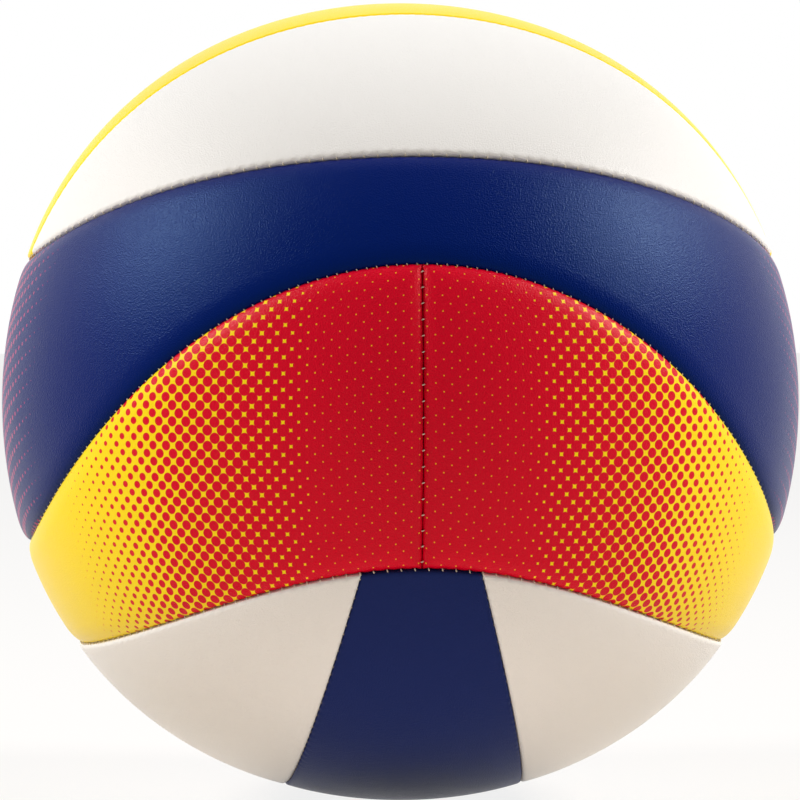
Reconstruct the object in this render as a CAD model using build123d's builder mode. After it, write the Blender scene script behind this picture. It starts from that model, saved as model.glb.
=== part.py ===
# Machine-stitched volleyball: ten foam-backed panels in two interlocking
# halves, sewn over an air-tight rubber bladder with an inflation valve.
# Units are millimetres. Widths and lengths of panels are measured over the
# curve of the ball. Origin at the ball's centre, +Z through the middle of the
# top strips, which run along X. The bottom strips run along Y.
import os
from math import cos, pi, radians, sin, sqrt, tan

from build123d import *

os.makedirs("parts", exist_ok=True)

# Ball and panels
ball_diameter = 213.0
panel_thickness = 4.0       # skin and foam backing, bonded together
edge_roll = 2.2             # radius at which a panel's edge rolls down into the seam
seam_gap = 0.2              # between the turned edges of two panels

# Panel layout, over the curve of the ball, as shares of its circumference
group_length_share = 0.3826         # three strips together, along the strips
group_width_share = 0.2959          # three strips together, across the strips
centre_strip_width_share = 0.0956   # at the middle of the strip
centre_strip_end_share = 0.0433     # the same strip at its ends
main_seam_rise_share = 0.0568       # crest of the wavy seam above the ball's equator

# Sewing thread, lying in the groove between two rolled edges
thread_width = 0.7
thread_height = 0.6
thread_clearance = 0.05

# Bladder
bladder_clearance = 0.1     # under the panels
bladder_wall = 1.2

# Valve, in the middle of the top centre strip
valve_neck_diameter = 10.0
valve_hole_clearance = 0.15
valve_hole_roll = 0.6       # rounded lip of the hole in the panel
valve_recess = 0.5          # top of the valve below the ball's surface
flange_diameter = 26.0      # bonded into a seat inside the bladder
flange_thickness = 1.6
flange_bond = 0.15
flange_seat_depth = 0.4
flange_seat_margin = 1.0    # seat wider than the flange, all round
tail_diameter = 9.0
tail_length = 9.0           # from the flange inwards
plug_head_diameter = 8.0
plug_head_height = 1.2
plug_shank_diameter = 5.0
plug_tip_short = 1.0        # the plug ends this far above the housing's inner end
plug_tip_taper = 0.8
plug_clearance = 0.05       # all round, in the housing
needle_channel_diameter = 2.2
needle_channel_depth = 11.0

# Derived sizes
ball_radius = ball_diameter / 2
inner_radius = ball_radius - panel_thickness
bladder_radius = inner_radius - bladder_clearance
bladder_inside = bladder_radius - bladder_wall

# Half angles at the ball's centre that the layout's shares stand for
half_length = group_length_share * pi
half_width = group_width_share * pi
strip_half_width = centre_strip_width_share * pi
strip_half_end = centre_strip_end_share * pi
crest = main_seam_rise_share * 2 * pi

# Half widths across a seam
half_gap = seam_gap / 2
half_thread = thread_width / 2
clear_of_thread = half_thread + thread_clearance

# The thread lies where the groove is as wide as the thread and its clearance
groove_reach = edge_roll + half_gap - clear_of_thread
thread_floor = ball_radius - edge_roll + sqrt(edge_roll**2 - groove_reach**2)
thread_top = thread_floor + thread_height

# Valve radii, and heights above the ball's centre
neck_radius = valve_neck_diameter / 2
neck_hole_radius = neck_radius + valve_hole_clearance
flange_radius = flange_diameter / 2
tail_radius = tail_diameter / 2
head_radius = plug_head_diameter / 2
shank_radius = plug_shank_diameter / 2
head_seat_radius = head_radius + plug_clearance
socket_radius = shank_radius + plug_clearance
valve_top = ball_radius - valve_recess
head_seat = valve_top - plug_head_height
seat_floor = bladder_inside + flange_seat_depth
flange_outside = seat_floor - flange_bond
flange_inside = flange_outside - flange_thickness
tail_end = flange_inside - tail_length
plug_tip = tail_end + plug_tip_short

# Planes that the radial walls are lofted between, inside and outside the panels
near_reach = 0.2 * ball_radius
far_reach = 1.2 * ball_radius

# Turns that keep a sphere's poles and seam line off the panels
poles_along_x = (0, 90, 0)
poles_along_y = (-90, 0, 90)

# Half a turn about this axis takes the top half of the ball to the bottom half
halves_axis = Axis((0, 0, 0), (1, 1, 0))


def shell(outer, inner, poles):
    """Hollow sphere between two radii."""
    with BuildPart() as hollow:
        Sphere(outer, rotation=poles)
        Sphere(inner, rotation=poles, mode=Mode.SUBTRACT)
    return hollow.part


def group_cone(ease):
    """Solid inside the outline of the three top strips: an elliptical cone from the
    ball's centre. ease widens the outline, over the curve."""
    along = tan(half_length + ease / ball_radius)
    across = tan(half_width + ease / ball_radius)
    with BuildPart() as cone:
        for reach in (near_reach, far_reach):
            with BuildSketch(Plane.XY.offset(reach)):
                Ellipse(reach * along, reach * across)
        loft(ruled=True)
    return cone.part


def main_seam(t, ease):
    """Direction of the wavy seam at t, from a crest to a trough over a quarter of the ball:
    x = a cos t + b cos 3t, y = a sin t - b sin 3t, z = -2 sqrt(a b) sin 2t, with a + b = 1.
    ease lifts the seam, over the curve."""
    a = (1 + cos(crest)) / 2
    b = (1 - cos(crest)) / 2
    c = sin(crest)
    point = Vector(a * cos(t) + b * cos(3 * t), a * sin(t) - b * sin(3 * t), -c * sin(2 * t))
    heading = Vector(
        -a * sin(t) - 3 * b * sin(3 * t),
        a * cos(t) - 3 * b * cos(3 * t),
        -2 * c * cos(2 * t),
    )
    uphill = point.cross(heading).normalized()
    return point + uphill * (ease / ball_radius)


def front_ring(ease):
    """Solid above the main seam on the front half of the ball, up past the outline of
    the strips. ease lifts the seam, over the curve."""
    seam = [main_seam(radians(angle), ease) for angle in range(-45, 46, 15)]
    past_outline = 1.25 * sqrt(2) / tan(half_width)
    facing = Vector(1, -1, 0).normalized()
    with BuildPart() as ring:
        for reach in (near_reach, far_reach):
            top = reach * past_outline
            with BuildSketch(Plane(origin=facing * reach, x_dir=(1, 1, 0), z_dir=facing)):
                with BuildLine():
                    wave = Spline(*[(reach * p.Y / p.X, reach * p.Z / p.X) for p in seam])
                    Polyline(wave @ 1, (reach, top), (-reach, top), wave @ 0)
                make_face()
        loft(ruled=True)
        mirror(about=Plane.YZ)
    return ring.part


def full_ring(ease):
    """Solid above the main seam, all round the ball."""
    with BuildPart() as ring:
        add(front_ring(ease))
        mirror(about=Plane.XZ)
    return ring.part


def strip_seam_plane(side):
    """Plane of the seam between the top centre strip and a side strip, through the seam's
    middle and both its ends. side is -1 in front and 1 at the back, where the normal points."""
    at_middle = Vector(0, side * sin(strip_half_width), cos(strip_half_width)) * ball_radius
    end_drop = cos(strip_half_end) * cos(half_length)
    at_end = Vector(0, side * sin(strip_half_end), end_drop) * ball_radius
    normal = Vector(1, 0, 0).cross(at_end - at_middle) * side
    return Plane(origin=at_middle, x_dir=(1, 0, 0), z_dir=normal)


def outline_edges(panel):
    """Edges round the outer face of a panel."""
    return panel.faces().sort_by(SortBy.AREA)[-1].edges()


def at_height(sphere_radius, radius):
    """Profile point on a sphere round the ball's centre, at a distance from the valve's axis."""
    return (radius, sqrt(sphere_radius**2 - radius**2))


def keep_piece(piece, name):
    """Names a finished piece and writes it."""
    piece.label = name
    export_step(piece, f"parts/{name}.step")


def bottom_twin(piece):
    """The same piece in the bottom half of the ball."""
    with BuildPart() as twin:
        add(piece.rotate(halves_axis, 180))
    return twin.part


def back_twin(piece):
    """The same piece, mirrored to the back of the ball."""
    with BuildPart() as twin:
        add(piece.mirror(Plane.XZ))
    return twin.part


front_seam = strip_seam_plane(-1)
back_seam = strip_seam_plane(1)

# Side strip of the top group
with BuildPart() as side_strip:
    add(shell(ball_radius, inner_radius, poles_along_x))
    add(group_cone(-half_gap), mode=Mode.INTERSECT)
    split(bisect_by=front_seam.offset(half_gap), keep=Keep.TOP)
    fillet(outline_edges(side_strip), edge_roll)

# Centre strip, between the two side strips
with BuildPart() as centre_strip:
    add(shell(ball_radius, inner_radius, poles_along_x))
    add(group_cone(-half_gap), mode=Mode.INTERSECT)
    split(bisect_by=front_seam.offset(-half_gap), keep=Keep.BOTTOM)
    split(bisect_by=back_seam.offset(-half_gap), keep=Keep.BOTTOM)
    fillet(outline_edges(centre_strip), edge_roll)

# Bow-tie panel round the front of the top group, from meeting seam to meeting seam
with BuildPart() as bow_panel:
    add(shell(ball_radius, inner_radius, poles_along_y))
    add(front_ring(half_gap), mode=Mode.INTERSECT)
    add(group_cone(half_gap), mode=Mode.SUBTRACT)
    split(bisect_by=Plane.XZ.offset(half_gap), keep=Keep.TOP)
    fillet(outline_edges(bow_panel), edge_roll)

# Top centre strip, with the hole that the valve comes out of
with BuildPart() as valve_strip:
    add(centre_strip.part)
    Cylinder(neck_hole_radius, 2 * ball_diameter, mode=Mode.SUBTRACT)
    lip = valve_strip.edges().filter_by(GeomType.CIRCLE).sort_by(Axis.Z)[-1]
    fillet(lip, valve_hole_roll)

keep_piece(valve_strip.part, "top_centre_strip")
keep_piece(side_strip.part, "top_front_strip")
keep_piece(back_twin(side_strip.part), "top_back_strip")
keep_piece(bow_panel.part, "front_bow_panel")
keep_piece(back_twin(bow_panel.part), "back_bow_panel")
keep_piece(bottom_twin(centre_strip.part), "bottom_centre_strip")
keep_piece(bottom_twin(side_strip.part), "bottom_left_strip")
keep_piece(bottom_twin(back_twin(side_strip.part)), "bottom_right_strip")
keep_piece(bottom_twin(bow_panel.part), "left_bow_panel")
keep_piece(bottom_twin(back_twin(bow_panel.part)), "right_bow_panel")

# Thread of the two seams between the top strips
with BuildPart() as strip_thread:
    add(shell(thread_top, thread_floor, poles_along_x))
    add(group_cone(-clear_of_thread), mode=Mode.INTERSECT)
    split(bisect_by=front_seam.offset(-half_thread), keep=Keep.TOP)
    split(bisect_by=front_seam.offset(half_thread), keep=Keep.BOTTOM)
    mirror(about=Plane.XZ)

# Thread round the three top strips
with BuildPart() as outline_thread:
    add(shell(thread_top, thread_floor, poles_along_x))
    add(group_cone(half_thread), mode=Mode.INTERSECT)
    add(group_cone(-half_thread), mode=Mode.SUBTRACT)

# Thread of the two seams where the front and back bow-tie panels meet
with BuildPart() as meeting_thread:
    add(shell(thread_top, thread_floor, poles_along_y))
    add(full_ring(clear_of_thread), mode=Mode.INTERSECT)
    add(group_cone(clear_of_thread), mode=Mode.SUBTRACT)
    split(bisect_by=Plane.XZ.offset(-half_thread), keep=Keep.TOP)
    split(bisect_by=Plane.XZ.offset(half_thread), keep=Keep.BOTTOM)

# Thread of the wavy seam between the two halves
with BuildPart() as main_thread:
    add(shell(thread_top, thread_floor, poles_along_x))
    add(full_ring(-half_thread), mode=Mode.INTERSECT)
    add(full_ring(half_thread), mode=Mode.SUBTRACT)

keep_piece(strip_thread.part, "top_strip_thread")
keep_piece(outline_thread.part, "top_outline_thread")
keep_piece(meeting_thread.part, "top_meeting_thread")
keep_piece(main_thread.part, "main_seam_thread")
keep_piece(bottom_twin(strip_thread.part), "bottom_strip_thread")
keep_piece(bottom_twin(outline_thread.part), "bottom_outline_thread")
keep_piece(bottom_twin(meeting_thread.part), "bottom_meeting_thread")

# Seat for the valve's flange, moulded into the inside of the bladder
with BuildPart() as flange_seat:
    with Locations((0, 0, ball_radius)):
        Cylinder(flange_radius + flange_seat_margin, ball_diameter)
    Sphere(seat_floor, rotation=poles_along_x, mode=Mode.INTERSECT)

# Bladder, with the hole that the valve's neck goes through
with BuildPart() as bladder:
    add(shell(bladder_radius, bladder_inside, poles_along_x))
    add(flange_seat.part, mode=Mode.SUBTRACT)
    with Locations((0, 0, ball_radius)):
        Cylinder(neck_hole_radius, ball_diameter, mode=Mode.SUBTRACT)

# Valve housing: neck through the panel, flange under the bladder, tail inwards
with BuildPart() as valve_housing:
    with BuildSketch(Plane.XZ):
        with BuildLine():
            under = ThreePointArc(
                at_height(flange_inside, tail_radius),
                at_height(flange_inside, (tail_radius + flange_radius) / 2),
                at_height(flange_inside, flange_radius),
            )
            over = ThreePointArc(
                at_height(flange_outside, flange_radius),
                at_height(flange_outside, (neck_radius + flange_radius) / 2),
                at_height(flange_outside, neck_radius),
            )
            Line(under @ 1, over @ 0)
            Polyline(
                over @ 1,
                (neck_radius, valve_top),
                (head_seat_radius, valve_top),
                (head_seat_radius, head_seat),
                (socket_radius, head_seat),
                (socket_radius, tail_end),
                (tail_radius, tail_end),
                under @ 0,
            )
        make_face()
    revolve(axis=Axis.Z)

# Valve plug, the soft core with a blind needle channel
with BuildPart() as valve_plug:
    with BuildSketch(Plane.XZ):
        with BuildLine():
            Polyline(
                (0, valve_top),
                (head_radius, valve_top),
                (head_radius, head_seat),
                (shank_radius, head_seat),
                (shank_radius, plug_tip + plug_tip_taper),
                (shank_radius - plug_tip_taper, plug_tip),
                (0, plug_tip),
                close=True,
            )
        make_face()
    revolve(axis=Axis.Z)
    with Locations((0, 0, valve_top)):
        Hole(needle_channel_diameter / 2, depth=needle_channel_depth)

keep_piece(bladder.part, "bladder")
keep_piece(valve_housing.part, "valve_housing")
keep_piece(valve_plug.part, "valve_plug")
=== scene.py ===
"""Looks of a machine-stitched volleyball: softly rounded, grained cover panels with rolled edges,
rows of separate stitches in the seams, printed dot fades, a rubber valve and a pale studio.
Lengths are metres. Origin at the ball's centre, +Z out of the valve, front towards -Y."""

import bpy
import numpy as np
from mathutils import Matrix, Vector


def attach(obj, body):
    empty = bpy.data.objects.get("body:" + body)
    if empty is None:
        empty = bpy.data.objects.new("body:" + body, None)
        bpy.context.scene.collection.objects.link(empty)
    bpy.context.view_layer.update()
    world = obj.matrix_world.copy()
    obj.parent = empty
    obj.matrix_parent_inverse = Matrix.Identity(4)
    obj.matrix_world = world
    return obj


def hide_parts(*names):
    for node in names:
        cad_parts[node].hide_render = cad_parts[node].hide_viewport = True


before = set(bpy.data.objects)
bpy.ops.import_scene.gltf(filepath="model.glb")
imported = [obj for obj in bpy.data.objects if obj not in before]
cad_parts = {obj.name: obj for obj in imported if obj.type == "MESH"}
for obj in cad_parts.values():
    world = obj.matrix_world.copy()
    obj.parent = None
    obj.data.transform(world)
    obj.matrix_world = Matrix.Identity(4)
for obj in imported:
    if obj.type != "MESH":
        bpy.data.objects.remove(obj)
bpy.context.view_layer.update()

# Ball and seams, measured over the curve of the ball
BALL_RADIUS = 0.1065
PANEL_THICKNESS = 0.004
SEAM_GAP = 0.0002
GROUP_LENGTH = 0.256        # three strips together, along the strips
GROUP_WIDTH = 0.198         # three strips together, across the strips
STRIP_WIDTH = 0.064         # centre strip at its middle
STRIP_END_WIDTH = 0.029     # centre strip at its ends
SEAM_RISE = 0.038           # crest of the wavy seam above the equator
TIP_WIDTH = 0.0006          # blunt tip of a side strip

# Shape of the inflated cover
SQUARE_LIFT = 0.0011        # rise of the skin half-way between two axes
SQUARENESS = 0.003          # fall of the skin with the sum of its direction's fourth powers
HALF_WAY_SUM = 0.5          # that sum half-way between two axes
BOW_ROLL = (0.006, 0.0018)  # width and depth of a bow panel's rolled edge
STRIP_ROLL = (0.001, 0.0008)
CORNER_POWER = 4.0          # a higher one gives sharper corners to the roll
SHOULDER_WIDTH = 0.006
SHOULDER_DEPTH = 0.0002
PUCKER_WIDTH = 0.0008       # dimple at a stitch
PUCKER_DEPTH = 0.0003
PUCKER_REACH = 3            # dimples are worked out this many widths from a seam

# Pitch of the stitches in each kind of seam, and their depth below the skin
STITCHES = {
    "strip": (0.0027, 0.00095),
    "outline": (0.0034, 0.00095),
    "meeting": (0.0039, 0.0014),
    "wavy": (0.0025, 0.0017),
}

# Shape of one stitch
STITCH_RADIUS = 0.00018
STITCH_REACH = 0.0005       # from the seam into each edge
STITCH_LEAN = 0.00015       # of each end along the seam
STITCH_SAG = 0.0004         # of each end below the middle
STITCH_RINGS = (-0.92, -0.5, 0, 0.5, 0.92)  # as shares of the reach
STITCH_SIDES = 6
STITCH_BLUNTNESS = 6        # a higher power keeps the tube full closer to its ends

# Valve hole in the top centre strip, and bladder
VALVE_HOLE_RADIUS = 0.00515
VALVE_HOLE_ROLL = 0.0006
BLADDER_GAP = 0.0001
BLADDER_WALL = 0.0012

# Print on the bow panels
DOT_SOFTNESS = 0.00012      # half the width of a dot's blurred edge
DOT_STEP = 0.008            # arc length over which dots step to their last radius
PRINT_SAG = 0.0022          # of the rows, at the panel's ends
PRINT_SAG_LENGTH = 0.045    # of the panel's end, over which the rows sag

# Points of the grids, and how far they crowd towards a panel's ends and edges
STRIP_POINTS = 420          # along a strip
BOW_POINTS = 400            # along a bow panel
CROSS_POINTS = 64           # across a strip or a bow panel
BORDER_POINTS = 560         # round the strip that has the valve
HOLE_POINTS = 72            # from that strip's border in to the hole
END_CROWDING = 0.5
EDGE_CROWDING = 1.0
BLADDER_RINGS = 64
BLADDER_SIDES = 96

# Steps in which curves are worked out
WAVE_STEPS = 2880
ROUND_STEPS = 2000
STRIP_STEPS = 1000
MEETING_STEPS = 200
TIP_STEPS = 4000
BORDER_STEPS = 20000
END_ROUNDS = 40             # rounds to find the centre strip's end
SMALL_STEP = 1e-4           # for slopes and headings, on the unit sphere
LEAST_DISTANCE = 1e-6

# Camera, from the photographed view
CAMERA_AZIMUTH = np.radians(-3.15)
CAMERA_ELEVATION = np.radians(1.8)
CAMERA_DISTANCE = 10.5 * BALL_RADIUS
CAMERA_LENS = 188.0         # in millimetres, as is the sensor
CAMERA_SENSOR = 36.0
CAMERA_SHIFT = 1.5 / 800    # 1.5 pixels of a frame of 800

# Light and floor
LAMP_OUT = 1.24             # to each side
LAMP_FRONT = -0.06
LAMP_HEIGHT = 0.92
LAMP_SIZE = 0.5
LAMP_POWER = {"left": 20.0, "right": 21.5}
ROOM_LIGHT = 0.18           # strength of the even light, where white is 1
FLOOR_REACH = 6.0
FLOOR_GLOW = 0.85           # share of white over the floor's own colour and shadow

# Derived angles
HALF_LENGTH = GROUP_LENGTH / 2 / BALL_RADIUS
HALF_WIDTH = GROUP_WIDTH / 2 / BALL_RADIUS
CREST = SEAM_RISE / BALL_RADIUS
HALF_GAP = SEAM_GAP / 2 / BALL_RADIUS
HOLE_ELEVATION = np.pi / 2 - VALVE_HOLE_RADIUS / BALL_RADIUS


# Seams of the top half, as curves on the unit sphere

def direction(azimuth, elevation):
    """Unit vectors at an azimuth round +Z and an elevation above the equator."""
    level = np.cos(elevation)
    return np.stack(np.broadcast_arrays(
        level * np.cos(azimuth), level * np.sin(azimuth), np.sin(elevation)), axis=-1)


def strip_direction(along, across):
    """Unit vectors at an angle along the strips, from +Z towards +X, and an angle across them."""
    level = np.cos(across)
    return np.stack(np.broadcast_arrays(
        level * np.sin(along), np.sin(across), level * np.cos(along)), axis=-1)


def wavy_seam(azimuth):
    """Elevation of the wavy seam between the halves, read off its space curve
    x = a cos t + b cos 3t, y = a sin t - b sin 3t, z = -2 sqrt(ab) sin 2t, turned by an eighth."""
    a = (1 + np.cos(CREST)) / 2
    b = (1 - np.cos(CREST)) / 2
    t = np.linspace(-np.pi, np.pi, WAVE_STEPS + 1)[:-1]
    around = np.arctan2(a * np.sin(t) - b * np.sin(3 * t), a * np.cos(t) + b * np.cos(3 * t))
    level = np.arcsin(-np.sin(CREST) * np.sin(2 * t))
    return np.interp(azimuth, around - np.pi / 4, level, period=2 * np.pi)


def group_outline(azimuth):
    """Elevation of the outline round the three strips: the ball cut by an elliptical cone."""
    return np.arctan(np.hypot(np.cos(azimuth) / np.tan(HALF_LENGTH),
                              np.sin(azimuth) / np.tan(HALF_WIDTH)))


def strip_plane():
    """Normal and distance, on the unit sphere, of the plane through the back strip seam's
    middle and ends, which lies along X. The normal points away from the centre strip."""
    middle = STRIP_WIDTH / 2 / BALL_RADIUS
    end = STRIP_END_WIDTH / 2 / BALL_RADIUS
    middle_point = np.array((0, np.sin(middle), np.cos(middle)))
    end_point = np.array((0, np.sin(end), np.cos(end) * np.cos(HALF_LENGTH)))
    normal = np.cross((1, 0, 0), end_point - middle_point)
    normal /= np.linalg.norm(normal)
    return normal, normal @ middle_point


STRIP_NORMAL, STRIP_OFFSET = strip_plane()


def strip_seam(along):
    """Angle across the strips of the back strip seam: n sin b + m cos b cos a = d, solved for b."""
    lift = STRIP_NORMAL[2] * np.cos(along)
    size = np.hypot(STRIP_NORMAL[1], lift)
    return np.arcsin(STRIP_OFFSET / size) - np.arctan2(lift, STRIP_NORMAL[1])


def outline_across(along):
    """Angle across the strips of the group's outline, at an angle along the strips."""
    share = np.clip(1 - (np.tan(along) / np.tan(HALF_LENGTH)) ** 2, 0, 1)
    return np.arctan(np.cos(along) * np.tan(HALF_WIDTH) * np.sqrt(share))


def strip_tip():
    """Angle along the strips at which a side strip is only as wide as its blunt tip."""
    along = np.linspace(0, HALF_LENGTH, TIP_STEPS + 1)
    width = outline_across(along) - strip_seam(along)
    return np.interp(-TIP_WIDTH / BALL_RADIUS, -width, along)


# Distances over the curve from the seams, in metres

def above(points, seam):
    """Distance above a seam given as elevation over azimuth: the height above it times the
    cosine of the seam's slope there."""
    azimuth = np.arctan2(points[..., 1], points[..., 0])
    level = seam(azimuth)
    change = (seam(azimuth + SMALL_STEP) - seam(azimuth - SMALL_STEP)) / (2 * SMALL_STEP)
    slope = change / np.cos(level)
    rise = np.arcsin(np.clip(points[..., 2], -1, 1)) - level
    return BALL_RADIUS * rise / np.hypot(1, slope)


def past_strip_seam(points):
    """Distance past the nearer strip seam, away from the centre strip."""
    height = np.abs(points[..., 1]) * STRIP_NORMAL[1] + points[..., 2] * STRIP_NORMAL[2]
    return BALL_RADIUS * (np.arcsin(height) - np.arcsin(STRIP_OFFSET))


def from_meeting(points):
    """Distance from the meeting seams, which lie in the plane y = 0."""
    return BALL_RADIUS * np.arcsin(np.abs(points[..., 1]))


def nearest(*distances):
    """Smooth least of several distances, which rounds a panel's corners: the sum of a negative
    power of each, back through the inverse power."""
    powers = [np.maximum(d, LEAST_DISTANCE) ** -CORNER_POWER for d in distances]
    return sum(powers) ** (-1 / CORNER_POWER)


# Relief of the cover

def skin(points):
    """Radius of the inflated ball before its seams: drawn in on the axes and fuller between
    them, by the sum of the fourth powers of the direction."""
    fourth_powers = (points ** 4).sum(axis=-1)
    return BALL_RADIUS + SQUARE_LIFT - SQUARENESS * (fourth_powers - HALF_WAY_SUM)


def roll(distance, width, depth):
    """Drop of a rolled edge at a distance from it: a quarter ellipse."""
    inward = np.clip(1 - distance / width, 0, 1)
    return depth * (1 - np.sqrt(1 - inward ** 2))


def pucker(points, distance, places):
    """Dimples that the stitches pull into the edges: a bell curve round each stitch."""
    drop = np.zeros(distance.shape)
    near = distance < PUCKER_REACH * PUCKER_WIDTH
    cosine = np.clip((points[near] @ places.T).max(axis=1), -1, 1)
    gap = BALL_RADIUS * np.arccos(cosine)
    drop[near] = PUCKER_DEPTH * np.exp(-(gap / PUCKER_WIDTH) ** 2)
    return drop


def cover(points, distance, places, edge):
    """Radius of a panel's outer face: the skin, less a wide shoulder, the rolled edge and the
    dimples at the stitches."""
    shoulder = SHOULDER_DEPTH * np.exp(-distance / SHOULDER_WIDTH)
    return (skin(points) - shoulder - roll(distance, *edge)
            - pucker(points, distance, places))


# Meshes

def build_mesh(name, points, polygons):
    """Smooth-shaded mesh object from a point array and arrays of equal-sided faces."""
    mesh = bpy.data.meshes.new(name)
    loops = np.concatenate([p.ravel() for p in polygons])
    sides = np.concatenate([np.full(len(p), p.shape[1]) for p in polygons])
    mesh.vertices.add(len(points))
    mesh.vertices.foreach_set("co", np.ascontiguousarray(points, dtype=np.float32).ravel())
    mesh.loops.add(len(loops))
    mesh.loops.foreach_set("vertex_index", loops.astype(np.int32))
    mesh.polygons.add(len(sides))
    mesh.polygons.foreach_set("loop_start", (np.cumsum(sides) - sides).astype(np.int32))
    mesh.polygons.foreach_set("use_smooth", np.ones(len(sides), dtype=bool))
    mesh.update(calc_edges=True)
    mesh.validate()
    piece = bpy.data.objects.new(name, mesh)
    bpy.context.scene.collection.objects.link(piece)
    return piece


def grid_faces(index):
    """Four-sided faces of a grid of point numbers."""
    return np.stack((index[:-1, :-1], index[1:, :-1], index[1:, 1:], index[:-1, 1:]),
                    axis=-1).reshape(-1, 4)


def rim_faces(border, shift):
    """Four-sided faces between a border of the outer side and the same border of the inner
    side, whose point numbers are higher by a shift."""
    first = border[:-1]
    second = border[1:]
    return np.stack((first, first + shift, second + shift, second), axis=-1)


def panel_piece(name, outer, inner, print_map=None, wraps=False):
    """Closed panel: an outer grid, an inner grid of the same size facing inwards, and a rim of
    faces between their borders. wraps joins the grid's last row to its first."""
    count = outer.shape[0] * outer.shape[1]
    index = np.arange(count).reshape(outer.shape[:2])
    if wraps:
        index = np.concatenate((index, index[:1]))
        borders = [index[:, 0], index[::-1, -1]]
    else:
        borders = [np.concatenate((index[:, 0], index[-1, 1:],
                                   index[-2::-1, -1], index[0, -2::-1]))]
    faces = grid_faces(index)
    rims = [rim_faces(border, count) for border in borders]
    points = np.concatenate((outer.reshape(-1, 3), inner.reshape(-1, 3)))
    piece = build_mesh(name, points, [faces, faces[:, ::-1] + count, *rims])
    if print_map is not None:
        place = np.concatenate((print_map.reshape(-1, 2),) * 2)
        corner = np.empty(len(piece.data.loops), dtype=np.int32)
        piece.data.loops.foreach_get("vertex_index", corner)
        layer = piece.data.uv_layers.new(name="print")
        layer.data.foreach_set("uv", place[corner].astype(np.float32).ravel())
    return piece


def spaced(count, crowding):
    """Values from 0 to 1, closer at both ends: even steps mixed with a half turn's cosine, of
    which crowding is the share."""
    even = np.linspace(0, 1, count)
    return (1 - crowding) * even + crowding * (1 - np.cos(np.pi * even)) / 2


def arc_lengths(curve):
    """Length along a curve up to each of its points."""
    return np.concatenate(([0], np.cumsum(np.linalg.norm(np.diff(curve, axis=0), axis=1))))


# Moves from the place where a panel is worked out to its place on the ball

def stay(vectors):
    """No move."""
    return vectors


def to_other_side(vectors):
    """Mirror across the plane y = 0, with the rows in reverse so that the faces still face out."""
    return vectors[::-1] * (1, -1, 1)


def to_bottom(vectors):
    """Half a turn about the line x = y, which takes the top half of the ball to the bottom."""
    return vectors[..., (1, 0, 2)] * (1, 1, -1)


def to_bottom_other_side(vectors):
    """The mirror, and then the half turn."""
    return to_bottom(to_other_side(vectors))


# Stitches

def unit(vectors):
    """Vectors of length 1 in the same directions."""
    return vectors / np.linalg.norm(vectors, axis=1, keepdims=True)


def stitch_row(curve, pitch):
    """Places and headings of the stitches of a seam, evenly apart by arc length."""
    run = arc_lengths(curve)
    count = int(run[-1] * BALL_RADIUS / pitch)
    at = (np.arange(count) + 0.5) * run[-1] / count
    place, ahead, behind = (
        np.stack([np.interp(where, run, axis) for axis in curve.T], axis=1)
        for where in (at, at + SMALL_STEP, at - SMALL_STEP))
    return unit(place), unit(ahead - behind)


def stitch_shape():
    """One stitch, as across, along and out offsets: a tube on an arch that reaches into both
    edges, with rings of points and a closing point at each end. The arch sags by the square of
    the share of its reach, and the tube thins by the root of 1 less a high power of it."""
    s = np.array(STITCH_RINGS)[:, None]
    turn = np.linspace(0, 2 * np.pi, STITCH_SIDES + 1)[None, :-1]
    radius = STITCH_RADIUS * np.sqrt(1 - s ** STITCH_BLUNTNESS)
    rings = np.stack(np.broadcast_arrays(
        STITCH_REACH * s, STITCH_LEAN * s + radius * np.cos(turn),
        -STITCH_SAG * s ** 2 + radius * np.sin(turn)), axis=-1).reshape(-1, 3)
    end = np.array((STITCH_REACH, STITCH_LEAN, -STITCH_SAG))
    shape = np.concatenate((rings, [end * (-1, -1, 1), end]))
    count = len(rings)
    index = np.arange(count).reshape(len(STITCH_RINGS), STITCH_SIDES)
    index = np.concatenate((index, index[:, :1]), axis=1)
    first = np.stack((np.full(STITCH_SIDES, count), index[0, :-1], index[0, 1:]), axis=-1)
    last = np.stack((np.full(STITCH_SIDES, count + 1), index[-1, 1:], index[-1, :-1]), axis=-1)
    return shape, grid_faces(index)[:, ::-1], np.concatenate((first, last))[:, ::-1]


def stitch_piece(name, rows, depth):
    """All the stitches of some seams as one piece: the one stitch set at every place."""
    place = np.concatenate([row[0] for row in rows])
    heading = np.concatenate([row[1] for row in rows])
    across = np.cross(heading, place)
    shape, quads, triangles = stitch_shape()
    middle = place * (skin(place) - depth)[:, None]
    points = (middle[:, None] + shape[None, :, :1] * across[:, None]
              + shape[None, :, 1:2] * heading[:, None] + shape[None, :, 2:] * place[:, None])
    step = np.arange(len(place))[:, None, None] * len(shape)
    return build_mesh(name, points.reshape(-1, 3),
                      [(quads + step).reshape(-1, 4), (triangles + step).reshape(-1, 3)])


round_ball = np.linspace(-np.pi, np.pi, ROUND_STEPS + 1)
along_strip = np.linspace(-1, 1, STRIP_STEPS + 1) * strip_tip()
strip_curve = strip_direction(along_strip, strip_seam(along_strip))
outline_curve = direction(round_ball, group_outline(round_ball))
meeting_curve = direction(0, np.linspace(wavy_seam(0), group_outline(0), MEETING_STEPS + 1))
wavy_curve = direction(round_ball, wavy_seam(round_ball))
seam_curves = {
    "strip": [strip_curve, strip_curve * (1, -1, 1)],
    "outline": [outline_curve],
    "meeting": [meeting_curve, meeting_curve * (-1, 1, 1)],
}

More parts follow.
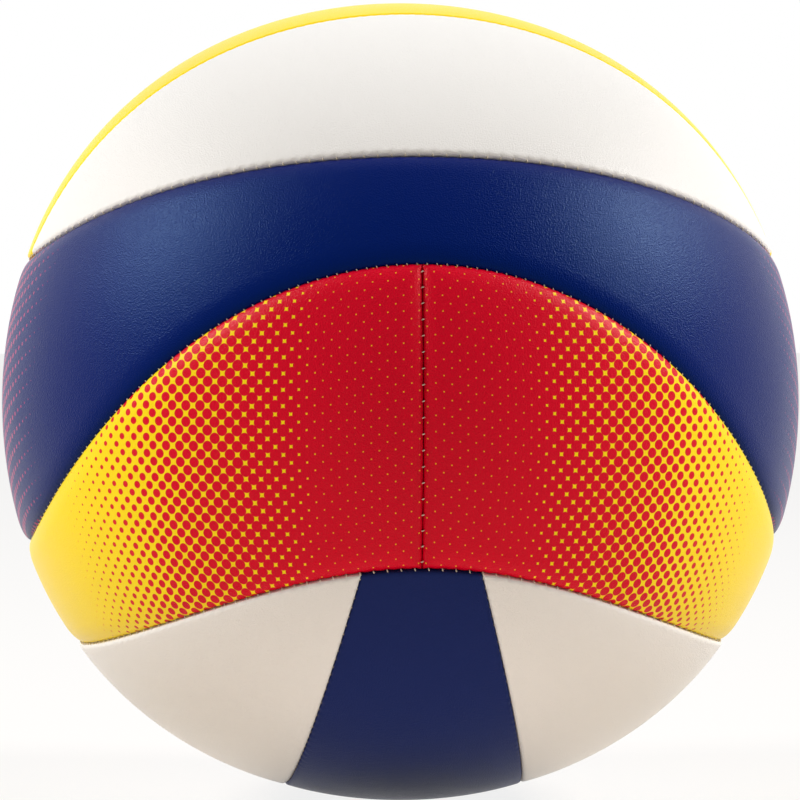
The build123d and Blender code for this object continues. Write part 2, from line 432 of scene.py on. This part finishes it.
# Rows of stitches of each thread, and their depth
wavy_pitch, wavy_depth = STITCHES["wavy"]
sewing = {"main_seam_thread": ([stitch_row(wavy_curve, wavy_pitch)], wavy_depth)}
for seam, curves in seam_curves.items():
    pitch, depth = STITCHES[seam]
    sewing[f"top_{seam}_thread"] = ([stitch_row(c, pitch) for c in curves], depth)
    sewing[f"bottom_{seam}_thread"] = ([stitch_row(to_bottom(c), pitch) for c in curves], depth)

# The panels are worked out in the top half, so the bottom half's stitches are brought there too
all_places = np.concatenate([place for rows, _ in sewing.values() for place, _ in rows])
top_places = np.concatenate((all_places, to_bottom(all_places)))


# Panels of the top half, as directions and distances from their seams

def side_strip():
    """Back side strip: from blunt tip to blunt tip along the strips, and across from the strip
    seam to the outline."""
    along = (strip_tip() * (2 * spaced(STRIP_POINTS, END_CROWDING) - 1))[:, None]
    low = strip_seam(along) + HALF_GAP
    high = outline_across(along) - HALF_GAP
    points = strip_direction(along, low + (high - low) * spaced(CROSS_POINTS, EDGE_CROWDING))
    return points, nearest(past_strip_seam(points), above(points, group_outline))


def centre_strip():
    """Centre strip: across from seam to seam, and along from end to end, where the outline is
    found by repeating tan a = tan l sqrt(1 - (tan b / (cos a tan w))^2)."""
    share = 2 * spaced(CROSS_POINTS, EDGE_CROWDING) - 1
    end = np.full(share.shape, HALF_LENGTH)
    for _ in range(END_ROUNDS):
        lean = np.tan(share * strip_seam(end)) / (np.cos(end) * np.tan(HALF_WIDTH))
        end = np.arctan(np.tan(HALF_LENGTH) * np.sqrt(1 - lean ** 2))
    along = (2 * spaced(STRIP_POINTS, END_CROWDING) - 1)[:, None] * (end - HALF_GAP)
    points = strip_direction(along, share * (strip_seam(along) - HALF_GAP))
    return points, nearest(-past_strip_seam(points), above(points, group_outline))


def valve_strip():
    """Centre strip with the valve's hole: round the hole by azimuth, at even steps along the
    border, and from the border in to the hole. The border is the higher of the outline and the
    strip seam, whose elevation solves n |sin a| cos e + m sin e = d."""
    azimuth = np.linspace(-np.pi, np.pi, BORDER_STEPS + 1)
    size = np.hypot(STRIP_NORMAL[1] * np.sin(azimuth), STRIP_NORMAL[2])
    tilt = np.arctan2(STRIP_NORMAL[1] * np.abs(np.sin(azimuth)), STRIP_NORMAL[2])
    seam = np.pi - np.arcsin(STRIP_OFFSET / size) - tilt
    border = np.maximum(seam, group_outline(azimuth)) + HALF_GAP
    run = arc_lengths(direction(azimuth, border))
    at = np.linspace(0, run[-1], BORDER_POINTS + 1)[:-1]
    low = np.interp(at, run, border)[:, None]
    elevation = low + (HOLE_ELEVATION - low) * spaced(HOLE_POINTS, EDGE_CROWDING)
    points = direction(np.interp(at, run, azimuth)[:, None], elevation)
    return points, nearest(-past_strip_seam(points), above(points, group_outline))


def bow_panel():
    """Front bow-tie panel: by azimuth from meeting seam to meeting seam, and by elevation from
    the wavy seam to the outline. Its print map is arc length along and across the panel; rows
    of print sag towards the wavy seam near the panel's ends."""
    reach = np.pi - 2 * HALF_GAP
    azimuth = (-np.pi + HALF_GAP + reach * spaced(BOW_POINTS, END_CROWDING))[:, None]
    low = wavy_seam(azimuth) + HALF_GAP
    high = group_outline(azimuth) - HALF_GAP
    elevation = low + (high - low) * spaced(CROSS_POINTS, EDGE_CROWDING)
    points = direction(azimuth, elevation)
    distance = nearest(above(points, wavy_seam), -above(points, group_outline),
                       from_meeting(points))
    along = BALL_RADIUS * (azimuth + np.pi / 2)
    from_end = BALL_RADIUS * np.pi / 2 - np.abs(along)
    sag = PRINT_SAG * np.clip(1 - from_end / PRINT_SAG_LENGTH, 0, 1) ** 2
    print_map = np.stack(np.broadcast_arrays(along, BALL_RADIUS * elevation + sag), axis=-1)
    return points, distance, print_map


def hole_lip(points):
    """Drop of the rolled lip round the valve's hole."""
    distance = BALL_RADIUS * np.arccos(np.clip(points[..., 2], -1, 1)) - VALVE_HOLE_RADIUS
    return roll(distance, VALVE_HOLE_ROLL, VALVE_HOLE_ROLL)


def shell(points, radius, move):
    """Outer and inner grid of a panel, moved to its place on the ball."""
    inner = points * (BALL_RADIUS - PANEL_THICKNESS)
    return move(points * radius[..., None]), move(inner)


def bladder_piece(name):
    """Rubber ball with a wall and the valve's hole: rings by elevation from the bottom up to the
    hole, where a rim joins its two sides, and a fan of faces to one point at the bottom."""
    elevation = np.linspace(-np.pi / 2, HOLE_ELEVATION, BLADDER_RINGS + 1)[1:]
    azimuth = np.linspace(0, 2 * np.pi, BLADDER_SIDES + 1)[:-1, None]
    rings = direction(azimuth, elevation)
    bottom = BLADDER_SIDES * BLADDER_RINGS
    index = np.arange(bottom).reshape(rings.shape[:2])
    index = np.concatenate((index, index[:1]))
    faces = grid_faces(index)
    fan = np.stack((np.full(BLADDER_SIDES, bottom), index[1:, 0], index[:-1, 0]), axis=-1)
    inner = bottom + 1
    rim = rim_faces(index[::-1, -1], inner)
    points = np.concatenate((rings.reshape(-1, 3), [(0, 0, -1)]))
    radius = BALL_RADIUS - PANEL_THICKNESS - BLADDER_GAP
    return build_mesh(name, np.concatenate((points * radius, points * (radius - BLADDER_WALL))),
                      [np.concatenate((faces, faces[:, ::-1] + inner, rim)),
                       np.concatenate((fan, fan[:, ::-1] + inner))])


# Colours and finishes

def srgb(red, green, blue):
    """Scene colour of a screen colour in 0 to 255."""
    value = np.array((red, green, blue)) / 255
    linear = np.where(value <= 0.04045, value / 12.92, ((value + 0.055) / 1.055) ** 2.4)
    return (*linear, 1.0)


WHITE = srgb(240, 237, 233)
YELLOW = srgb(254, 222, 18)
BLUE = srgb(0, 16, 93)
# The bottom strip's own blue, greyed a little as a painted reflection of the pale floor
NAVY_WITH_PAINTED_REFLECTION = srgb(31, 43, 97)
RED = srgb(218, 1, 39)
PINK = srgb(176, 48, 106)
CREAM = srgb(218, 206, 184)
RUBBER = srgb(34, 34, 36)
PLUG_RUBBER = srgb(52, 52, 55)
FLOOR = srgb(244, 234, 222)
NO_TINT = (1, 1, 1)

# Leather grain and gloss
PEBBLES = 3000.0            # to the metre
PEBBLE_DEPTH = 0.0001
FINE_NOISE = 2.5            # times as fine as the pebbles
FINE_SHARE = 0.4            # of the fine noise in the height
GLOSS_PATCHES = 60.0        # to the metre
GLOSS_SPREAD = 0.08         # of the roughness from patch to patch

# Dot fades, by the sockets of their node group
BLUE_FADE = {
    "First dots": 0.050, "Growth": 0.034, "End radius": 0.0012, "End fall": 0.006,
    "Last dots": -0.01, "Last radius": 0.0012,
    "Turn": np.radians(19), "Spacing": (0.003, 0.004, 1),
}
YELLOW_FADE = {
    "First dots": 0.106, "Growth": 0.031, "End radius": 0.001945, "End fall": 0.0105,
    "Last dots": 0.0297, "Last radius": 0.00186,
    "Turn": np.radians(45), "Spacing": (0.0028, 0.0028, 1),
}

# Numbers of a mix node's first and second input and of its output, which differ by kind
MIX_SOCKETS = {"FLOAT": (2, 3, 0), "RGBA": (6, 7, 2)}


def new_group(name, inputs, outputs):
    """Shader node group with named sockets, and its input and output nodes."""
    group = bpy.data.node_groups.new(name, "ShaderNodeTree")
    for label, kind, value in inputs:
        socket = group.interface.new_socket(label, in_out="INPUT", socket_type=kind)
        socket.default_value = value
    for label, kind in outputs:
        group.interface.new_socket(label, in_out="OUTPUT", socket_type=kind)
    return group, group.nodes.new("NodeGroupInput"), group.nodes.new("NodeGroupOutput")


def math_node(tree, operation, *values):
    """Math node on some values, each a number or a socket."""
    node = tree.nodes.new("ShaderNodeMath")
    node.operation = operation
    for socket, value in zip(node.inputs, values):
        if isinstance(value, (int, float)):
            socket.default_value = value
        else:
            tree.links.new(value, socket)
    return node.outputs[0]


def vector_node(tree, operation, *values):
    """Vector math node on some vectors, each a tuple or a socket."""
    node = tree.nodes.new("ShaderNodeVectorMath")
    node.operation = operation
    for socket, value in zip(node.inputs, values):
        if isinstance(value, tuple):
            socket.default_value = value
        else:
            tree.links.new(value, socket)
    return node.outputs[0]


def mix_node(tree, kind, share, first, second):
    """Mix of two numbers or two colours, by the share of the second."""
    node = tree.nodes.new("ShaderNodeMix")
    node.data_type = kind
    first_input, second_input, output = MIX_SOCKETS[kind]
    tree.links.new(share, node.inputs["Factor"])
    tree.links.new(first, node.inputs[first_input])
    tree.links.new(second, node.inputs[second_input])
    return node.outputs[output]


def seen_rays(tree):
    """One for the rays that see the surroundings: the camera's, reflected ones and those through
    glass. Nought for the rest."""
    light = tree.nodes.new("ShaderNodeLightPath")
    seen = math_node(tree, "MAXIMUM", light.outputs["Is Camera Ray"],
                     light.outputs["Is Glossy Ray"])
    return math_node(tree, "MAXIMUM", seen, light.outputs["Is Transmission Ray"])


def grain_group():
    """Leather grain: pebbles from cell distances, broken up by fine noise, and a slow
    unevenness for gloss."""
    group, given, result = new_group(
        "leather_grain",
        [("Pebbles per metre", "NodeSocketFloat", PEBBLES)],
        [("Height", "NodeSocketFloat"), ("Unevenness", "NodeSocketFloat")])
    per_metre = given.outputs["Pebbles per metre"]
    place = group.nodes.new("ShaderNodeTexCoord").outputs["Object"]
    pebbles = group.nodes.new("ShaderNodeTexVoronoi")
    pebbles.feature = "SMOOTH_F1"
    fine = group.nodes.new("ShaderNodeTexNoise")
    slow = group.nodes.new("ShaderNodeTexNoise")
    slow.inputs["Scale"].default_value = GLOSS_PATCHES
    for texture in (pebbles, fine, slow):
        group.links.new(place, texture.inputs["Vector"])
    group.links.new(per_metre, pebbles.inputs["Scale"])
    group.links.new(math_node(group, "MULTIPLY", per_metre, FINE_NOISE), fine.inputs["Scale"])
    height = math_node(group, "MULTIPLY_ADD", fine.outputs[0], FINE_SHARE,
                       pebbles.outputs["Distance"])
    group.links.new(height, result.inputs["Height"])
    group.links.new(slow.outputs[0], result.inputs["Unevenness"])
    return group


def dots_group():
    """Printed dot fade: the colour of rows of round dots over a ground, alike at both ends of
    the panel. A dot's radius is the smaller of two straight ramps over the arc length from the
    panel's end: one grows from the first dots on, and one falls away from the end. Close to the
    end it steps to one last radius."""
    sizes = [(label, "NodeSocketVector" if label == "Spacing" else "NodeSocketFloat", value)
             for label, value in YELLOW_FADE.items()]
    group, given, result = new_group(
        "dot_fade",
        [("Ground", "NodeSocketColor", YELLOW), ("Dot", "NodeSocketColor", RED), *sizes],
        [("Color", "NodeSocketColor")])
    spot = group.nodes.new("ShaderNodeUVMap")
    spot.uv_map = "print"
    parts = group.nodes.new("ShaderNodeSeparateXYZ")
    group.links.new(spot.outputs[0], parts.inputs[0])
    across = parts.outputs["Y"]
    from_middle = math_node(group, "ABSOLUTE", parts.outputs["X"])
    from_end = math_node(group, "SUBTRACT", BALL_RADIUS * np.pi / 2, from_middle)

    # The first dots start further from the end where the panel lies away from the equator
    elevation = math_node(group, "DIVIDE", across, BALL_RADIUS)
    narrowing = math_node(group, "SQRT", math_node(group, "COSINE", elevation))
    narrowed = math_node(group, "MULTIPLY", from_end, narrowing)
    grown = math_node(group, "SUBTRACT", given.outputs["First dots"], narrowed)
    early = math_node(group, "MULTIPLY", grown, given.outputs["Growth"])
    fall = math_node(group, "MULTIPLY", from_end, given.outputs["End fall"])
    late = math_node(group, "SUBTRACT", given.outputs["End radius"], fall)
    past = math_node(group, "SUBTRACT", given.outputs["Last dots"], from_end)
    step = math_node(group, "MULTIPLY_ADD", past, 1 / DOT_STEP, 0.5)
    step.node.use_clamp = True
    radius = mix_node(group, "FLOAT", step, math_node(group, "MINIMUM", early, late),
                      given.outputs["Last radius"])

    # Distance from the middle of the nearest dot, in turned rows
    place = group.nodes.new("ShaderNodeCombineXYZ")
    group.links.new(from_middle, place.inputs["X"])
    group.links.new(across, place.inputs["Y"])
    rows = group.nodes.new("ShaderNodeVectorRotate")
    rows.rotation_type = "Z_AXIS"
    group.links.new(place.outputs[0], rows.inputs["Vector"])
    group.links.new(given.outputs["Turn"], rows.inputs["Angle"])
    spacing = given.outputs["Spacing"]
    cell = vector_node(group, "FRACTION", vector_node(group, "DIVIDE", rows.outputs[0], spacing))
    centred = vector_node(group, "SUBTRACT", cell, (0.5, 0.5, 0))
    offset = vector_node(group, "MULTIPLY", centred, spacing)
    distance = vector_node(group, "LENGTH", offset).node.outputs["Value"]

    edge = group.nodes.new("ShaderNodeMapRange")
    edge.interpolation_type = "SMOOTHSTEP"
    edge.inputs["From Min"].default_value = -DOT_SOFTNESS
    edge.inputs["From Max"].default_value = DOT_SOFTNESS
    group.links.new(math_node(group, "SUBTRACT", radius, distance), edge.inputs["Value"])
    colour = mix_node(group, "RGBA", edge.outputs["Result"],
                      given.outputs["Ground"], given.outputs["Dot"])
    group.links.new(colour, result.inputs["Color"])
    return group


GRAIN = grain_group()
DOTS = dots_group()


def new_material(name, colour, roughness, specular, tint=NO_TINT):
    """Material with a plain shader."""
    material = bpy.data.materials.new(name)
    material.use_nodes = True
    shader = material.node_tree.nodes["Principled BSDF"]
    shader.inputs["Base Color"].default_value = colour
    shader.inputs["Roughness"].default_value = roughness
    shader.inputs["Specular IOR Level"].default_value = specular
    shader.inputs["Specular Tint"].default_value = (*tint, 1.0)
    return material, material.node_tree, shader


def grained(name, colour, roughness=0.3, specular=0.2, tint=NO_TINT,
            pebbles=PEBBLES, depth=PEBBLE_DEPTH):
    """Soft synthetic leather, rubber or thread: grain raises the surface and varies the gloss
    a little."""
    material, tree, shader = new_material(name, colour, roughness, specular, tint)
    grain = tree.nodes.new("ShaderNodeGroup")
    grain.node_tree = GRAIN
    grain.inputs["Pebbles per metre"].default_value = pebbles
    bump = tree.nodes.new("ShaderNodeBump")
    bump.inputs["Distance"].default_value = depth
    tree.links.new(grain.outputs["Height"], bump.inputs["Height"])
    tree.links.new(bump.outputs[0], shader.inputs["Normal"])
    gloss = math_node(tree, "MULTIPLY_ADD", grain.outputs["Unevenness"], GLOSS_SPREAD,
                      roughness - GLOSS_SPREAD / 2)
    tree.links.new(gloss, shader.inputs["Roughness"])
    return material


def dotted(name, ground, dot, tint, fade):
    """Grained leather printed with a dot fade."""
    material = grained(name, ground, tint=tint)
    tree = material.node_tree
    dots = tree.nodes.new("ShaderNodeGroup")
    dots.node_tree = DOTS
    for label, value in {"Ground": ground, "Dot": dot, **fade}.items():
        dots.inputs[label].default_value = value
    tree.links.new(dots.outputs["Color"], tree.nodes["Principled BSDF"].inputs["Base Color"])
    return material


finishes = {
    "cover_white": grained("cover_white", WHITE, specular=0.1),
    "cover_yellow": grained("cover_yellow", YELLOW, specular=0.15, tint=(1.0, 0.8, 0.3)),
    # Weak gloss on the navy strip, whose pale floor reflection is painted into its colour instead
    "cover_navy": grained("cover_navy", NAVY_WITH_PAINTED_REFLECTION, specular=0.025),
    "cover_blue_fade": dotted("cover_blue_fade", BLUE, PINK, (0.1, 0.45, 0.95), BLUE_FADE),
    "cover_yellow_fade": dotted("cover_yellow_fade", YELLOW, RED, (1.0, 0.5, 0.4), YELLOW_FADE),
    "thread": grained("thread", CREAM, roughness=0.7, specular=0.3, pebbles=5000.0, depth=0.00002),
    "bladder_rubber": grained("bladder_rubber", RUBBER, roughness=0.6, specular=0.4),
    "valve_rubber": grained("valve_rubber", RUBBER, roughness=0.5, specular=0.4),
    "plug_rubber": grained("plug_rubber", PLUG_RUBBER, roughness=0.45, specular=0.4),
}


def dress(piece, node, slot):
    """Puts a piece in the place of its CAD node, with its finish."""
    piece.data.materials.append(finishes[slot])
    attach(piece, "ball")
    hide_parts(node)


# Cover panels

side_points, side_distance = side_strip()
side_radius = cover(side_points, side_distance, top_places, STRIP_ROLL)
for node, move in (("top_back_strip", stay), ("top_front_strip", to_other_side),
                   ("bottom_right_strip", to_bottom), ("bottom_left_strip", to_bottom_other_side)):
    piece = panel_piece(f"{node}_cover", *shell(side_points, side_radius, move))
    dress(piece, node, "cover_white")

bow_points, bow_distance, bow_print = bow_panel()
bow_radius = cover(bow_points, bow_distance, top_places, BOW_ROLL)
for node, move, slot in (("front_bow_panel", stay, "cover_blue_fade"),
                         ("back_bow_panel", to_other_side, "cover_blue_fade"),
                         ("left_bow_panel", to_bottom, "cover_yellow_fade"),
                         ("right_bow_panel", to_bottom_other_side, "cover_yellow_fade")):
    mirrored = move in (to_other_side, to_bottom_other_side)
    print_map = bow_print[::-1] if mirrored else bow_print
    piece = panel_piece(f"{node}_cover", *shell(bow_points, bow_radius, move), print_map)
    dress(piece, node, slot)

centre_points, centre_distance = centre_strip()
centre_radius = cover(centre_points, centre_distance, top_places, STRIP_ROLL)
piece = panel_piece("bottom_centre_strip_cover", *shell(centre_points, centre_radius, to_bottom))
dress(piece, "bottom_centre_strip", "cover_navy")

valve_points, valve_distance = valve_strip()
valve_radius = cover(valve_points, valve_distance, top_places, STRIP_ROLL)
valve_radius -= hole_lip(valve_points)
piece = panel_piece("top_centre_strip_cover", *shell(valve_points, valve_radius, stay), wraps=True)
dress(piece, "top_centre_strip", "cover_yellow")

# Sewing, bladder and valve

for node, (rows, depth) in sewing.items():
    dress(stitch_piece(f"{node}_stitches", rows, depth), node, "thread")

dress(bladder_piece("bladder_skin"), "bladder", "bladder_rubber")

for node, slot in (("valve_housing", "valve_rubber"), ("valve_plug", "plug_rubber")):
    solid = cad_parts[node]
    solid.data.materials.clear()
    solid.data.materials.append(finishes[slot])


# Studio

def soft_box(name, place, power):
    """Square lamp that faces the ball."""
    lamp = bpy.data.lights.new(name, "AREA")
    lamp.shape = "SQUARE"
    lamp.size = LAMP_SIZE
    lamp.energy = power
    box = bpy.data.objects.new(name, lamp)
    box.location = place
    box.rotation_mode = "QUATERNION"
    box.rotation_quaternion = (-Vector(place)).to_track_quat("-Z", "Y")
    bpy.context.scene.collection.objects.link(box)


def studio_floor():
    """Wide pale floor under the ball, nearly white to the camera, with the ball's shadow."""
    corners = np.array(((-1, -1), (1, -1), (1, 1), (-1, 1))) * FLOOR_REACH
    points = np.column_stack((corners, np.full(len(corners), -BALL_RADIUS)))
    floor = build_mesh("floor", points, [np.array(((0, 1, 2, 3),))])
    material, tree, shader = new_material("floor_pale", FLOOR, roughness=0.9, specular=0.1)
    glow = tree.nodes.new("ShaderNodeEmission")
    blend = tree.nodes.new("ShaderNodeMixShader")
    tree.links.new(math_node(tree, "MULTIPLY", seen_rays(tree), FLOOR_GLOW), blend.inputs[0])
    tree.links.new(shader.outputs[0], blend.inputs[1])
    tree.links.new(glow.outputs[0], blend.inputs[2])
    tree.links.new(blend.outputs[0], tree.nodes["Material Output"].inputs["Surface"])
    floor.data.materials.append(material)


def studio_world():
    """White to the rays that see the surroundings, and a soft even light to everything else."""
    world = bpy.data.worlds.new("studio")
    bpy.context.scene.world = world
    world.use_nodes = True
    tree = world.node_tree
    back = tree.nodes["Background"]
    back.inputs["Color"].default_value = (1, 1, 1, 1)
    strength = math_node(tree, "MULTIPLY_ADD", seen_rays(tree), 1 - ROOM_LIGHT, ROOM_LIGHT)
    tree.links.new(strength, back.inputs["Strength"])


def studio_camera():
    """Camera at the photographed angle, aimed at the ball's centre."""
    data = bpy.data.cameras.new("camera")
    data.lens = CAMERA_LENS
    data.sensor_width = CAMERA_SENSOR
    data.shift_y = CAMERA_SHIFT
    camera = bpy.data.objects.new("camera", data)
    away = Vector(direction(CAMERA_AZIMUTH - np.pi / 2, CAMERA_ELEVATION))
    camera.location = away * CAMERA_DISTANCE
    camera.rotation_mode = "QUATERNION"
    camera.rotation_quaternion = (-away).to_track_quat("-Z", "Y")
    bpy.context.scene.collection.objects.link(camera)
    bpy.context.scene.camera = camera


studio_floor()
studio_world()
studio_camera()
soft_box("soft_box_left", (-LAMP_OUT, LAMP_FRONT, LAMP_HEIGHT), LAMP_POWER["left"])
soft_box("soft_box_right", (LAMP_OUT, LAMP_FRONT, LAMP_HEIGHT), LAMP_POWER["right"])
bpy.context.scene.view_settings.view_transform = "Standard"
